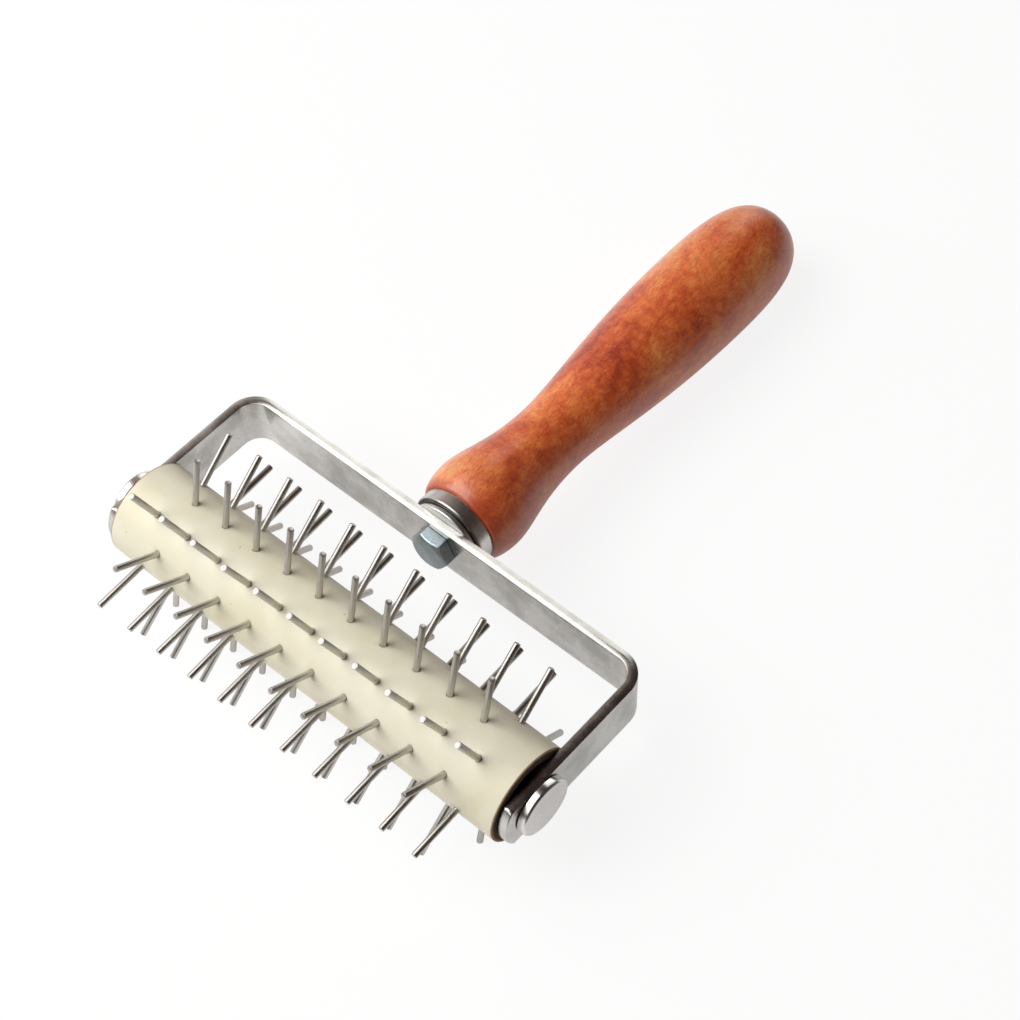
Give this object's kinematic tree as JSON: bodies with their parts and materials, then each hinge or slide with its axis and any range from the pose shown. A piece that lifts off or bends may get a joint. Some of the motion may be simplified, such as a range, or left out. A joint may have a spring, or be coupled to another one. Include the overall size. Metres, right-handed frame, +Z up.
{
  "type": "dough docker",
  "caption": "Dough docker: a roller set with steel pins turns freely on an axle in a bent flat-bar frame, which is bolted to a turned wooden handle.",
  "frame": {"origin": "on the table, under the middle of the box around the tool as it lies on its pins and its handle", "axes": "+X along the axle, +Y from the roller towards the end of the handle, +Z up from the table"},
  "size_m": [0.1306, 0.1948, 0.0512],
  "materials": {
    "frame_steel": "satin brushed stainless steel",
    "pin_steel": "polished drawn wire",
    "zinc_steel": "bright zinc plate",
    "ferrule_steel": "polished steel cup",
    "insert_brass": "as turned",
    "handle_wood": "reddish stain under semi-gloss lacquer",
    "sleeve_plastic": "satin ivory",
    "core_wood": "unfinished",
    "bush_nylon": "black nylon"
  },
  "bodies": {
    "frame": {"frame_bracket": "frame_steel", "axle": "frame_steel", "axle_cap_right": "frame_steel", "axle_cap_left": "frame_steel", "handle_bolt": "zinc_steel", "bolt_washer": "zinc_steel", "ferrule": "ferrule_steel", "handle_insert": "insert_brass", "handle": "handle_wood"},
    "roller": {"roller_sleeve": "sleeve_plastic", "roller_core": "core_wood", "end_bush_right": "bush_nylon", "end_bush_left": "bush_nylon", "pin_row_01": "pin_steel", "pin_row_02": "pin_steel", "pin_row_03": "pin_steel", "pin_row_04": "pin_steel", "pin_row_05": "pin_steel", "pin_row_06": "pin_steel", "pin_row_07": "pin_steel", "pin_row_08": "pin_steel", "pin_row_09": "pin_steel", "pin_row_10": "pin_steel"}
  },
  "joints": [
    {"name": "roller_spin", "type": "hinge", "parent": "frame", "child": "roller", "pos_m": [0, -0.0707, 0.02562], "axis": [1, 0, 0], "continuous": true}
  ]
}
